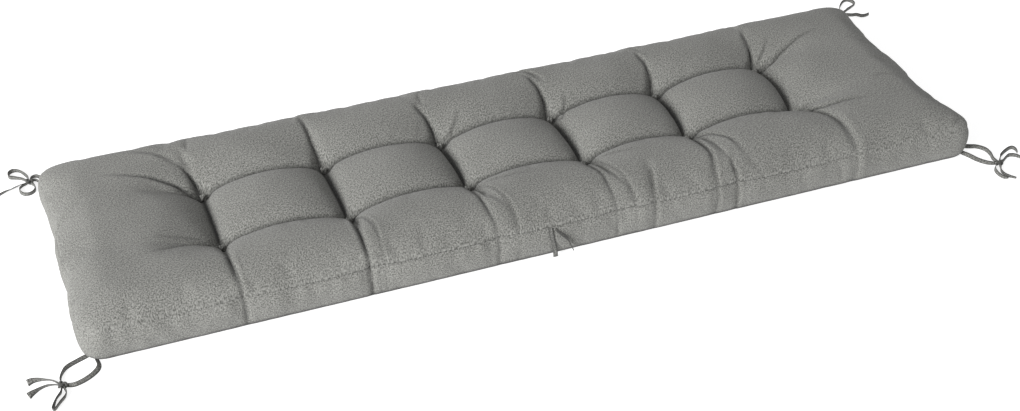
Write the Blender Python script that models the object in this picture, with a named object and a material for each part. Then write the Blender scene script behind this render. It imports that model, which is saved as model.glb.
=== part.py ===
"""A tufted sun lounger cushion lying on its back: one filled body, its tufting knots and its cloth ties.

Metres, +Z up. X runs along the cushion and Y across it. The origin is on the
resting face, below the middle of the body. The ties lie on the surface that
the cushion stands on, and the two pairs in the middle of the long sides hang.
"""

import math

import bmesh
import bpy
from mathutils import Vector
from mathutils.bvhtree import BVHTree

# Driving sizes of the filled body
LENGTH = 1.80
WIDTH = 0.53
CROWN = 0.102  # the top of the pads
SEAM_HEIGHT = 0.068  # the seam between the top panel and the side band
EDGE_ROUND = 0.085  # how far in from the seam the top panel curves down
CORNER_RADIUS = 0.042
BAND_BULGE = 0.004
SEAM_GROOVE = 0.002
BOTTOM_ROUND = 0.012
UNDERSIDE_DIMPLE = 0.005  # where the tufting twine holds the bottom panel
DIMPLE_RADIUS = 0.022
FRONT_SKEW = -0.005  # the front edge runs out by this much at the right end, and in at the left end
HALF_LENGTH = LENGTH / 2
HALF_WIDTH = WIDTH / 2

# How far each corner is drawn out lengthwise: (end, side), outward reach
CORNER_REACH = {(-1, -1): 0.000, (1, -1): 0.019, (-1, 1): 0.010, (1, 1): 0.011}
CORNER_REACH_LENGTH = 0.11

# The tufts: two rows of six, each where its twine pulls it, from left to right
COLUMN_PITCH = 0.2425
ROW_OFFSET = 0.085
COLUMNS = [COLUMN_PITCH * (i - 2.5) for i in range(6)]
ROWS = (-ROW_OFFSET, ROW_OFFSET)
FRONT_TUFTS = (
    (-0.613, -0.086), (-0.369, -0.090), (-0.124, -0.076), (0.121, -0.079), (0.353, -0.074), (0.600, -0.070),
)
BACK_TUFTS = (
    (-0.614, 0.084), (-0.371, 0.087), (-0.128, 0.083), (0.117, 0.090), (0.359, 0.092), (0.607, 0.106),
)
COLUMN_BOW = (0.0, 0.0, 0.002, 0.003, 0.006, 0.012)  # how far each column's channel bows to the right

# The channels between the tufts. A depth is a share of the crown.
COLUMN_DEPTH = 0.40
ROW_DEPTH = 0.16
ROW_REACH = 0.07  # a row's channel fades over this length past its last tuft
END_PAD = 1.45  # the pads at both ends are this much wider than those between columns
PAD_FIRMNESS = 0.60  # 0.5 is a round pad, 1 is a slack one
SIDE_NARROWING = 0.55  # how much narrower the channels between columns are out at the sides
SIDE_NARROWING_RATE = 1.3
SIDE_FADE = 1.5  # the power by which those channels grow shallow towards the sides
EDGE_FADE = 1.6  # how soon the channels have their whole depth, in from the seam
SEAT_RADIUS = 0.009  # the level spot at each tuft that its knot sits on
SEAT_BLEND = 0.014
TUFT_PULL = 0.004
SIDE_PULL = 0.005  # how far a column of tufts draws in the long sides
END_PULL = {-1: 0.004, 1: 0.009}  # how far a row of tufts draws in each end
PULL_WIDTH = 0.032
PULL_POWER = 4  # how closely the pull keeps to the edge
BULGE_POWER = 0.8
CREASE_FADE = 0.6  # how much of its depth a crease loses along its length

# The main creases that the tufts draw into the cloth: depth, half width, then the points that it runs through.
# One that ends past the front seam runs on down the band.
CREASES = (
    (0.006, 0.011, ((-0.613, -0.100), (-0.615, -0.145), (-0.611, -0.235), (-0.603, -0.270))),
    (0.006, 0.011, ((-0.370, -0.105), (-0.374, -0.150), (-0.374, -0.210), (-0.376, -0.270))),
    (0.005, 0.012, ((-0.126, -0.090), (-0.134, -0.130), (-0.127, -0.185), (-0.123, -0.262))),
    (0.005, 0.014, ((-0.120, -0.095), (-0.100, -0.180), (-0.082, -0.223), (-0.086, -0.255))),
    (0.005, 0.012, ((0.118, -0.095), (0.107, -0.136), (0.118, -0.185), (0.117, -0.258))),
    (0.005, 0.014, ((0.127, -0.100), (0.140, -0.185), (0.157, -0.235), (0.157, -0.258))),
    (0.004, 0.014, ((0.214, -0.185), (0.200, -0.235), (0.187, -0.268))),
    (0.006, 0.014, ((0.349, -0.090), (0.340, -0.130), (0.346, -0.195), (0.322, -0.268))),
    (0.005, 0.013, ((0.362, -0.095), (0.385, -0.125), (0.405, -0.170), (0.410, -0.210))),
    (0.004, 0.012, ((0.378, -0.225), (0.374, -0.255), (0.370, -0.270))),
    (0.006, 0.016, ((0.600, -0.085), (0.606, -0.135), (0.617, -0.190), (0.626, -0.250), (0.632, -0.272))),
    (0.006, 0.013, ((-0.615, 0.098), (-0.629, 0.133), (-0.637, 0.165))),
    (0.006, 0.016, ((-0.373, 0.103), (-0.381, 0.146), (-0.384, 0.190))),
    (0.006, 0.012, ((-0.130, 0.098), (-0.137, 0.145), (-0.147, 0.172))),
    (0.006, 0.012, ((0.118, 0.105), (0.114, 0.160), (0.108, 0.205))),
    (0.004, 0.012, ((0.096, 0.234), (0.118, 0.214), (0.138, 0.167))),
    (0.006, 0.014, ((0.360, 0.108), (0.361, 0.170), (0.353, 0.215))),
    (0.006, 0.013, ((0.608, 0.120), (0.614, 0.170), (0.616, 0.215))),
    (0.007, 0.014, ((-0.625, 0.080), (-0.660, 0.098), (-0.715, 0.122), (-0.775, 0.140))),
    (0.005, 0.014, ((-0.625, 0.110), (-0.652, 0.150), (-0.700, 0.190), (-0.755, 0.220))),
    (0.007, 0.014, ((-0.626, -0.082), (-0.653, -0.087), (-0.700, -0.103), (-0.735, -0.115))),
    (0.006, 0.013, ((0.618, 0.104), (0.642, 0.107), (0.684, 0.113), (0.727, 0.122))),
    (0.006, 0.013, ((0.612, -0.090), (0.640, -0.122), (0.675, -0.137), (0.708, -0.143))),
)

# How finely the body is divided
PITCH_STEPS = 11
ROW_STEPS = 7
END_STEPS = 5
STEP_EASE = 0.4  # 0 spaces the stations evenly, 1 crowds them at the marks
SEAT_STATION = 0.0075
TURN_STEPS = 6
BAND_LEVELS = (0.061, 0.034, 0.010, 0.003)
FLAT_ANGLE = 0.002  # faces of the underside that turn by less than this are one face

# The tufting knots
KNOT_RADIUS = 0.0055
KNOT_HEIGHT = 0.0070
GAP = 0.0003

# The ties are narrow folded strips, which rest on one edge where they lie on the surface
TIE_WIDTH = 0.009
TIE_THICKNESS = 0.0013
TIE_STEP = 0.007
ROUTE_DETAIL = 12  # how many straight steps a route's smooth curve has between two of its points
TIE_KNOT_SIZE = (0.0085, 0.0080, 0.0048)  # half sizes of a knotted tie's lump

# Each corner's ties: the knot, the straps from the body to the knot, the loops, and the free ends.
# Each strip is its lean from upright in degrees, then its route. A strap's route stops short of the knot,
# and a loop's and an end's route starts just past it.
CORNER_TIES = {
    "front_left": {
        "knot": (-0.943, -0.297),
        "straps": (
            (15, ((-0.895, -0.238), (-0.908, -0.243), (-0.929, -0.253), (-0.939, -0.266), (-0.944, -0.280))),
            (55, ((-0.877, -0.258), (-0.876, -0.268), (-0.885, -0.282), (-0.902, -0.294), (-0.922, -0.301))),
        ),
        "loops": (
            (0, ((-0.948, -0.314), (-0.956, -0.325), (-0.962, -0.338), (-0.967, -0.351), (-0.962, -0.351),
                 (-0.953, -0.339), (-0.942, -0.326), (-0.939, -0.314))),
        ),
        "ends": (
            (-25, ((-0.956, -0.281), (-0.964, -0.275), (-0.976, -0.270), (-0.988, -0.268), (-0.999, -0.270))),
            (-25, ((-0.957, -0.290), (-0.968, -0.288), (-0.979, -0.291), (-0.990, -0.297), (-1.001, -0.304))),
        ),
    },
    "front_right": {
        "knot": (0.953, -0.317),
        "straps": (
            (-20, ((0.920, -0.240), (0.931, -0.245), (0.944, -0.251), (0.955, -0.265), (0.956, -0.282),
                   (0.951, -0.299))),
            (-40, ((0.904, -0.258), (0.911, -0.272), (0.919, -0.290), (0.930, -0.305), (0.940, -0.312))),
        ),
        "loops": (),
        "ends": (
            (-10, ((0.966, -0.303), (0.972, -0.296), (0.985, -0.288), (1.001, -0.281), (1.011, -0.280),
                   (1.014, -0.288), (1.011, -0.299))),
            (0, ((0.967, -0.313), (0.976, -0.307), (0.988, -0.301), (0.998, -0.304), (1.005, -0.312),
                 (1.009, -0.325))),
            (0, ((0.940, -0.324), (0.933, -0.333), (0.930, -0.345), (0.931, -0.357), (0.935, -0.365),
                 (0.941, -0.367))),
            (0, ((0.948, -0.331), (0.942, -0.341), (0.941, -0.353), (0.946, -0.364), (0.955, -0.374))),
        ),
    },
    "back_left": {
        "knot": (-0.924, 0.327),
        "straps": (
            (0, ((-0.893, 0.262), (-0.899, 0.285), (-0.903, 0.312), (-0.908, 0.328), (-0.915, 0.332))),
            (0, ((-0.881, 0.269), (-0.883, 0.290), (-0.892, 0.318), (-0.905, 0.342), (-0.917, 0.342))),
        ),
        "loops": (
            (0, ((-0.916, 0.314), (-0.914, 0.303), (-0.918, 0.292), (-0.928, 0.286), (-0.938, 0.289),
                 (-0.944, 0.298), (-0.945, 0.309), (-0.938, 0.319))),
            (0, ((-0.924, 0.345), (-0.930, 0.360), (-0.939, 0.374), (-0.951, 0.379), (-0.960, 0.371),
                 (-0.960, 0.359), (-0.949, 0.352), (-0.938, 0.345), (-0.933, 0.340))),
        ),
        "ends": (
            (0, ((-0.940, 0.327), (-0.951, 0.322), (-0.963, 0.316), (-0.975, 0.311), (-0.990, 0.303))),
        ),
    },
    "back_right": {
        "knot": (0.958, 0.330),
        "straps": (
            (0, ((0.893, 0.266), (0.903, 0.287), (0.922, 0.308), (0.944, 0.319))),
            (0, ((0.906, 0.255), (0.924, 0.274), (0.945, 0.296), (0.955, 0.314))),
        ),
        "loops": (
            (0, ((0.966, 0.344), (0.979, 0.362), (0.996, 0.378), (1.010, 0.382), (1.018, 0.372), (1.017, 0.359),
                 (1.003, 0.350), (0.988, 0.343), (0.976, 0.336))),
        ),
        "ends": (
            (0, ((0.973, 0.322), (0.984, 0.316), (0.995, 0.314), (1.003, 0.305), (1.013, 0.303),
                 (1.024, 0.306))),
        ),
    },
}

# The pairs that hang from the seam in the middle of each long side, as (x, out from the seam, z).
# The first of a pair lies flat on the band, and the second stands on its edge.
HANGING_TIES = (
    ((-0.0240, 0.0016, 0.0670), (-0.0237, 0.0072, 0.0560), (-0.0205, 0.0080, 0.0380), (-0.0165, 0.0080, 0.0180),
     (-0.0155, 0.0085, 0.0020)),
    ((-0.0170, 0.0056, 0.0670), (-0.0080, 0.0115, 0.0590), (0.0040, 0.0120, 0.0460), (0.0120, 0.0120, 0.0300),
     (0.0200, 0.0120, 0.0100)),
)

CLOTH = (0.245, 0.245, 0.230, 1.0)
TWINE = (0.300, 0.300, 0.285, 1.0)


def soft_step(t):
    t = min(max(t, 0.0), 1.0)
    return t * t * (3 - 2 * t)


def channel(distance, reach):
    """The profile of a pad's side: 1 in the channel, 0 on top of the pad, and steep at first."""
    left = 1 - min(distance / reach, 1.0)
    return 1 - (1 - left * left) ** PAD_FIRMNESS


def between(value, marks, amounts):
    """The amount at value, in straight steps between the marks."""
    if value <= marks[0]:
        return amounts[0]
    for low, high, first, second in zip(marks, marks[1:], amounts, amounts[1:]):
        if value <= high:
            return first + (second - first) * (value - low) / (high - low)
    return amounts[-1]


def tuft_shift(x, y):
    """How far the cloth at a place of the even layout is moved, so that each tuft is at its own place."""
    shifts = []
    for row, tufts in zip(ROWS, (FRONT_TUFTS, BACK_TUFTS)):
        across = between(x, COLUMNS, [tuft[0] - column for tuft, column in zip(tufts, COLUMNS)])
        along = between(x, COLUMNS, [tuft[1] - row for tuft in tufts])
        shifts.append(Vector((across, along)))
    shift = shifts[0].lerp(shifts[1], soft_step((y + ROW_OFFSET) / (2 * ROW_OFFSET)))
    shift.x += between(x, COLUMNS, COLUMN_BOW) * max(0.0, 1 - (y / ROW_OFFSET) ** 2)
    past_column = max(0.0, abs(x) - COLUMNS[-1]) / (HALF_LENGTH - COLUMNS[-1])
    past_row = max(0.0, abs(y) - ROW_OFFSET) / (HALF_WIDTH - ROW_OFFSET)
    return shift * (1 - soft_step(past_column)) * (1 - soft_step(past_row))


def sink(x, y):
    """How far the tufting draws in the top panel, at a place of the even layout."""
    column = min(COLUMNS, key=lambda place: abs(place - x))
    row = min(ROWS, key=lambda place: abs(place - y))
    past_row = min(max(0.0, abs(y) - ROW_OFFSET) / (HALF_WIDTH - ROW_OFFSET), 1.0)
    past_column = max(0.0, abs(x) - COLUMNS[-1])
    pad = COLUMN_PITCH / 2 * (END_PAD if past_column else 1.0)
    pad *= 1 - SIDE_NARROWING * soft_step(past_row * SIDE_NARROWING_RATE)
    across = COLUMN_DEPTH * (1 - past_row) ** SIDE_FADE * channel(abs(x - column), pad)
    along = ROW_DEPTH * math.exp(-past_column / ROW_REACH) * channel(abs(y - row), ROW_OFFSET)
    depth = CROWN * (1 - (1 - across) * (1 - along))
    tuft_depth = CROWN * (1 - (1 - COLUMN_DEPTH) * (1 - ROW_DEPTH)) + TUFT_PULL
    seat = soft_step((math.hypot(x - column, y - row) - SEAT_RADIUS) / SEAT_BLEND)
    return tuft_depth + (depth - tuft_depth) * seat


def crease_depth(place):
    """How deep the creases are at a place in plan: each fades at its far end and to both sides."""
    deepest = 0.0
    for depth, half_width, route in CREASES:
        points = [Vector(point) for point in route]
        for k, (start, end) in enumerate(zip(points, points[1:])):
            run = end - start
            share = min(max((place - start).dot(run) / run.length_squared, 0.0), 1.0)
            aside = (place - start - run * share).length / half_width
            if aside < 1:
                along = (k + share) / (len(points) - 1)
                deepest = max(deepest, depth * (1 - soft_step(aside)) * (1 - CREASE_FADE * along))
    return deepest


def round_corner(x, y):
    """The place moved in so that the outline has round corners, and out where a corner is drawn out lengthwise."""
    end, side = math.copysign(1, x), math.copysign(1, y)
    over_x = abs(x) - HALF_LENGTH + CORNER_RADIUS
    over_y = abs(y) - HALF_WIDTH + CORNER_RADIUS
    if over_x > 0 and over_y > 0:
        span = 2 * CORNER_RADIUS**2
        flat_x, flat_y = HALF_LENGTH - CORNER_RADIUS, HALF_WIDTH - CORNER_RADIUS
        x = end * (flat_x + over_x * math.sqrt(1 - over_y**2 / span))
        y = side * (flat_y + over_y * math.sqrt(1 - over_x**2 / span))
    near_end = soft_step((abs(x) - HALF_LENGTH) / CORNER_REACH_LENGTH + 1)
    near_side = soft_step((abs(y) - HALF_WIDTH) / CORNER_REACH_LENGTH + 1)
    x += end * CORNER_REACH[end, side] * near_end * near_side
    if side < 0:
        y += FRONT_SKEW * x / HALF_LENGTH * abs(y) / HALF_WIDTH
    return x, y


def seam_share(x, y):
    """Where a place is between the flat of the top panel, 0, and the seam, 1, lengthwise and crosswise."""
    lengthwise = max(0.0, abs(x) - HALF_LENGTH + EDGE_ROUND) / EDGE_ROUND
    crosswise = max(0.0, abs(y) - HALF_WIDTH + EDGE_ROUND) / EDGE_ROUND
    return min(lengthwise, 1.0), min(crosswise, 1.0)


def drawn_in(x, y, lengthwise, crosswise):
    """How far the tufts draw the edge in, near a place on the outline."""
    at_column = max(math.exp(-(((x - column) / PULL_WIDTH) ** 2)) for column in COLUMNS)
    at_row = max(math.exp(-(((y - row) / PULL_WIDTH) ** 2)) for row in ROWS)
    at_side = SIDE_PULL * at_column * crosswise**PULL_POWER
    return at_side + END_PULL[math.copysign(1, x)] * at_row * lengthwise**PULL_POWER


def band_inset(height):
    """How far the band stands in from the full outline at a height."""
    if height < BOTTOM_ROUND:
        return BOTTOM_ROUND - math.sqrt(BOTTOM_ROUND**2 - (BOTTOM_ROUND - height) ** 2)
    share = (height - BOTTOM_ROUND) / (SEAM_HEIGHT - BOTTOM_ROUND)
    return SEAM_GROOVE * share**PULL_POWER - BAND_BULGE * math.sin(math.pi * min(share, 1.0)) ** BULGE_POWER


def on_body(x, y, z):
    """The place on the finished body of a place on the plain box."""
    lengthwise, crosswise = seam_share(x, y)
    plan = Vector(round_corner(x, y))
    outward = Vector((math.copysign(lengthwise, x), math.copysign(crosswise, y)))
    if outward.length > 0:
        outward.normalize()
    pull = drawn_in(x, y, lengthwise, crosswise)
    if z >= SEAM_HEIGHT - 1e-6:
        plan += tuft_shift(x, y)
        rise = math.sqrt((1 - lengthwise**2) * (1 - crosswise**2))
        crease = crease_depth(plan)
        height = SEAM_HEIGHT + (CROWN - SEAM_HEIGHT) * rise
        height -= sink(x, y) * soft_step(rise * EDGE_FADE) + crease * rise
        plan -= outward * (SEAM_GROOVE + pull + crease) * (1 - rise)
        return Vector((*plan, height))
    if z > 1e-6:
        crease = crease_depth(plan) * min(1.0, z / BOTTOM_ROUND)
        plan -= outward * (band_inset(z) + pull * math.sin(math.pi / 2 * z / SEAM_HEIGHT) + crease)
        return Vector((*plan, z))
    plan.x *= 1 - BOTTOM_ROUND / HALF_LENGTH
    plan.y *= 1 - BOTTOM_ROUND / HALF_WIDTH
    nearest = min(math.hypot(x - column, y - row) for column in COLUMNS for row in ROWS)
    return Vector((*plan, UNDERSIDE_DIMPLE * (1 - soft_step(nearest / DIMPLE_RADIUS))))


def eased(low, high, steps):
    """Stations from low up to but not at high, closer together at both ends."""
    places = []
    for k in range(steps):
        crowded = (1 - math.cos(math.pi * k / steps)) / 2
        places.append(low + (high - low) * (STEP_EASE * crowded + (1 - STEP_EASE) * k / steps))
    return places


def stations(marks, steps, half):
    """Stations across the box that meet every mark and the edges of its level spot, and crowd at the seam."""
    inner = []
    for low, high in zip(marks, marks[1:]):
        inner += [low] + eased(low + SEAT_STATION, high - SEAT_STATION, steps) + [high - SEAT_STATION]
    flat_end = half - EDGE_ROUND
    outer = [marks[-1]] + eased(marks[-1] + SEAT_STATION, flat_end, END_STEPS)
    turn = [flat_end + EDGE_ROUND * math.sin(math.pi / 2 * k / TURN_STEPS) for k in range(TURN_STEPS)]
    right = outer + turn
    return [-place for place in reversed(right)] + inner[1:] + right


def grid_box():
    """A box as large as the body up to the seam, cut into a grid by planes at the stations."""
    grid = bmesh.new()
    bmesh.ops.create_cube(grid, size=1.0)
    bmesh.ops.scale(grid, vec=(LENGTH, WIDTH, SEAM_HEIGHT), verts=grid.verts)
    bmesh.ops.translate(grid, vec=(0, 0, SEAM_HEIGHT / 2), verts=grid.verts)
    cuts = [((place, 0, 0), (1, 0, 0)) for place in stations(COLUMNS, PITCH_STEPS, HALF_LENGTH)]
    cuts += [((0, place, 0), (0, 1, 0)) for place in stations(ROWS, ROW_STEPS, HALF_WIDTH)]
    cuts += [((0, 0, level), (0, 0, 1)) for level in BAND_LEVELS]
    for point, normal in cuts:
        geometry = grid.verts[:] + grid.edges[:] + grid.faces[:]
        bmesh.ops.bisect_plane(grid, geom=geometry, dist=1e-6, plane_co=point, plane_no=normal)
    return grid


def principled(name, colour, roughness):
    material = bpy.data.materials.new(name)
    material.use_nodes = True
    shader = material.node_tree.nodes["Principled BSDF"]
    shader.inputs["Base Color"].default_value = colour
    shader.inputs["Roughness"].default_value = roughness
    shader.inputs["Metallic"].default_value = 0.0
    return material


def add_object(name, data, collection, material):
    data.materials.append(material)
    piece = bpy.data.objects.new(name, data)
    collection.objects.link(piece)
    return piece


def add_body(collection, material):
    grid = grid_box()
    underside = [face for face in grid.faces if face.normal.z < -0.5]
    for vert in grid.verts:
        vert.co = on_body(*vert.co)
    flat_edges = [edge for face in underside for edge in face.edges]
    flat_verts = [vert for face in underside for vert in face.verts]
    bmesh.ops.dissolve_limit(
        grid, angle_limit=FLAT_ANGLE, verts=list(set(flat_verts)), edges=list(set(flat_edges))
    )
    mesh = bpy.data.meshes.new("cushion_body")
    grid.to_mesh(mesh)
    grid.free()
    mesh.shade_smooth()
    return add_object("cushion_body", mesh, collection, material)


def add_lump(name, centre, half_sizes, collection, material):
    """A knot: a small round lump."""
    shape = bmesh.new()
    bmesh.ops.create_uvsphere(shape, u_segments=8, v_segments=6, radius=1.0)
    bmesh.ops.scale(shape, vec=half_sizes, verts=shape.verts)
    mesh = bpy.data.meshes.new(name)
    shape.to_mesh(mesh)
    shape.free()
    mesh.shade_smooth()
    lump = add_object(name, mesh, collection, material)
    lump.location = centre
    return lump


def smooth_route(points, step):
    """Points a step apart on the smooth curve that runs through the given points."""
    ends = [points[0] * 2 - points[1]] + points + [points[-1] * 2 - points[-2]]
    dense = []
    for before, start, end, after in zip(ends, ends[1:], ends[2:], ends[3:]):
        for k in range(ROUTE_DETAIL):
            t = k / ROUTE_DETAIL
            dense.append(
                (
                    start * 2
                    + (end - before) * t
                    + (before * 2 - start * 5 + end * 4 - after) * t**2
                    + (start * 3 - before - end * 3 + after) * t**3
                )
                / 2
            )
    dense.append(points[-1])
    length = sum((b - a).length for a, b in zip(dense, dense[1:]))
    spacing = length / max(2, round(length / step))
    route, gone = [dense[0]], 0.0
    for start, end in zip(dense, dense[1:]):
        run = (end - start).length
        while gone + run >= spacing * len(route) - 1e-9:
            route.append(start.lerp(end, (spacing * len(route) - gone) / run))
        gone += run
    return route


def add_strip(name, points, collection, material, lean=0.0, upright=False):
    """A strip of cloth along a route. At no lean its width stands along the curve's own Z."""
    curve = bpy.data.curves.new(name, "CURVE")
    curve.dimensions = "3D"
    curve.twist_mode = "Z_UP"
    curve.bevel_depth = TIE_THICKNESS / 2
    curve.bevel_resolution = 0
    curve.extrude = TIE_WIDTH / 2 - TIE_THICKNESS / 2
    curve.use_fill_caps = True
    if upright:
        points = [Vector((point.x, point.z, -point.y)) for point in points]
    route = smooth_route(points, TIE_STEP)
    spline = curve.splines.new("POLY")
    spline.points.add(len(route) - 1)
    for place, point in zip(spline.points, route):
        place.co = (*point, 1.0)
        place.tilt = lean
    strip = add_object(name, curve, collection, material)
    if upright:
        strip.rotation_euler = (math.pi / 2, 0, 0)
    return strip


def off_knot(knot, toward):
    """Where a strip meets a tie's knot, on the side that faces a place."""
    heading = (toward - knot).normalized()
    reach = 1 / math.hypot(heading.x / TIE_KNOT_SIZE[0], heading.y / TIE_KNOT_SIZE[1])
    return knot + heading * (reach + GAP)


def off_body(surface, place, outer, lean):
    """Where a strip that comes from a place farther out meets the body, with the whole rim of its end clear."""
    inward = (place - outer).normalized()
    upright = Vector((0, 0, 1))
    aside = upright.cross(inward)
    wide = (upright * math.cos(lean) + aside * math.sin(lean)) * (TIE_WIDTH / 2)
    thick = (aside * math.cos(lean) - upright * math.sin(lean)) * (TIE_THICKNESS / 2)
    rim = [outer + wide * up + thick * over for up in (-1, -0.5, 0, 0.5, 1) for over in (-1, 1)]
    reach = min(surface.ray_cast(point, inward)[3] for point in rim)
    return outer + inward * (reach - 2 * GAP)


def add_corner_ties(body, collection, cloth):
    surface = BVHTree.FromObject(body, bpy.context.evaluated_depsgraph_get())
    for corner, ties in CORNER_TIES.items():
        lump_centre = Vector((*ties["knot"], TIE_KNOT_SIZE[2] + GAP))
        add_lump(f"tie_{corner}_knot", lump_centre, TIE_KNOT_SIZE, collection, cloth)
        for kind in ("straps", "loops", "ends"):
            for letter, (degrees, route) in zip("abcd", ties[kind]):
                lean = math.radians(degrees)
                height = (TIE_WIDTH * math.cos(lean) + TIE_THICKNESS * abs(math.sin(lean))) / 2 + GAP
                knot = Vector((*ties["knot"], height))
                points = [Vector((*place, height)) for place in route]
                if kind == "straps":
                    points[0] = off_body(surface, points[0], points[1], lean)
                else:
                    points.insert(0, off_knot(knot, points[0]))
                if kind != "ends":
                    points.append(off_knot(knot, points[-1]))
                add_strip(f"tie_{corner}_{kind[:-1]}_{letter}", points, collection, cloth, lean)


def add_hanging_ties(collection, cloth):
    for side_name, side in (("front", -1), ("back", 1)):
        for letter, route, lean in zip("ab", HANGING_TIES, (math.pi / 2, 0.0)):
            points = [Vector((x, side * (HALF_WIDTH - SEAM_GROOVE + out), z)) for x, out, z in route]
            add_strip(f"tie_{side_name}_middle_{letter}", points, collection, cloth, lean, upright=True)


def add_tuft_knots(collection, twine):
    seat = CROWN * (1 - COLUMN_DEPTH) * (1 - ROW_DEPTH) - TUFT_PULL
    half_sizes = (KNOT_RADIUS, KNOT_RADIUS, KNOT_HEIGHT / 2)
    for row, tufts in (("front", FRONT_TUFTS), ("back", BACK_TUFTS)):
        for number, (x, y) in enumerate(tufts, 1):
            centre = (x, y, seat + GAP + KNOT_HEIGHT / 2)
            add_lump(f"tuft_{row}_{number}", centre, half_sizes, collection, twine)


def main():
    for old in list(bpy.data.objects):
        bpy.data.objects.remove(old)
    collection = bpy.data.collections.new("sun_lounger_cushion")
    bpy.context.scene.collection.children.link(collection)
    cloth = principled("grey_cloth", CLOTH, 0.95)
    twine = principled("grey_twine", TWINE, 0.85)
    body = add_body(collection, cloth)
    add_tuft_knots(collection, twine)
    add_corner_ties(body, collection, cloth)
    add_hanging_ties(collection, cloth)


main()
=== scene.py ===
"""The finish of a tufted sun lounger cushion: its cover, seam stitches, tufting knots and cloth ties.

Metres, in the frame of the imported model: X runs along the cushion, Y across it, +Z up. The tables of
tufts, creases, folds and ties are in millimetres.
"""

import math

import bmesh
import bpy
import numpy as np
from mathutils import Matrix, Vector
from mathutils.bvhtree import BVHTree


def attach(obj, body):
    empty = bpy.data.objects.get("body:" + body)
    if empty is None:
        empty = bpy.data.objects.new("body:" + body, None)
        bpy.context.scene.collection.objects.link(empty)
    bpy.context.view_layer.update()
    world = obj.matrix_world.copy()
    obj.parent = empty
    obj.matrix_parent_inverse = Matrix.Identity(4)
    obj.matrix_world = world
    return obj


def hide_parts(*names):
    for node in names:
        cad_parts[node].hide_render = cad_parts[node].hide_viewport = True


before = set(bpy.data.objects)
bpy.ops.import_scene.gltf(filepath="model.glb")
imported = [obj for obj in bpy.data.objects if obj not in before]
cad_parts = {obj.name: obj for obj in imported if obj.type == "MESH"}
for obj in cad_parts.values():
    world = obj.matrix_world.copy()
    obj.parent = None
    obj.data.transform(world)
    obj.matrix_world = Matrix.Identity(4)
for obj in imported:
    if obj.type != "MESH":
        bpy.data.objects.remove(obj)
bpy.ops.object.select_all(action="DESELECT")
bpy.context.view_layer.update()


def in_metres(table):
    """The table with each of its lengths turned from millimetres into metres."""
    if isinstance(table, tuple):
        return tuple(in_metres(entry) for entry in table)
    return table / 1000


# Small steps for comparing places, and for dividing by a length that may be none
NEARLY = 1e-5
TINY = 1e-9

# The filled body, in the sizes of its solid
LENGTH = 1.80
WIDTH = 0.53
CROWN = 0.102
SEAM_HEIGHT = 0.068
EDGE_ROUND = 0.085
CORNER_RADIUS = 0.042
BAND_BULGE = 0.004
SEAM_GROOVE = 0.002
BOTTOM_ROUND = 0.012
UNDERSIDE_DIMPLE = 0.005
DIMPLE_RADIUS = 0.022
FRONT_SKEW = -0.005
HALF_LENGTH = LENGTH / 2
HALF_WIDTH = WIDTH / 2
# How far each corner is drawn out lengthwise, by its end and its side
CORNER_REACH = {(-1, -1): 0.000, (1, -1): 0.019, (-1, 1): 0.010, (1, 1): 0.011}
CORNER_REACH_LENGTH = 0.11

# The tufts: two rows of six, from left to right
COLUMN_PITCH = 0.2425
ROW_OFFSET = 0.085
COLUMNS = [COLUMN_PITCH * (i - 2.5) for i in range(6)]
ROWS = (-ROW_OFFSET, ROW_OFFSET)
FRONT_TUFTS = in_metres(((-613, -86), (-369, -90), (-124, -76), (121, -79), (353, -74), (600, -70)))
BACK_TUFTS = in_metres(((-614, 84), (-371, 87), (-128, 83), (117, 90), (359, 92), (607, 106)))
COLUMN_BOW = (0.0, 0.0, 0.002, 0.003, 0.006, 0.012)
FRONT_BOW = (0.002, 0.002, 0.006, 0.009, 0.012, 0.040)
BACK_BOW = (-0.020, -0.007, -0.008, 0.004, 0.012, 0.020)
BOW_RISE = 0.45
BOW_FALL = 0.6

# The channels between the tufts. A depth is a share of the crown.
COLUMN_DEPTH = 0.46
ROW_DEPTH = 0.20
CLEFT_DEPTH = 0.008
CLEFT_WIDTH = 0.006
CLEFT_SIDE_FADE = 0.3
CLEFT_END_FADE = 0.06
CLEFT_EASE = 0.5
CLEFT_EASE_LENGTH = 0.12
ROW_REACH = 0.07
END_PAD = 1.45
PAD_FIRMNESS = 0.60
SIDE_NARROWING = 0.55
SIDE_NARROWING_RATE = 1.3
SIDE_FADE = 3.4
BACK_NARROWING = 0.20
BACK_FADE = 4.2
CHANNEL_OPENING = 0.4
EDGE_FADE = 1.6
TUFT_DEPTH = 0.0546
SEAT_RADIUS = 0.009
SEAT_BLEND = 0.014
SIDE_PULL = 0.005
END_PULL = (0.006, 0.017)  # left, right
PULL_WIDTH = 0.032
PULL_POWER = 4
BULGE_POWER = 0.8
CREASE_FADE = 0.6

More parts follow.
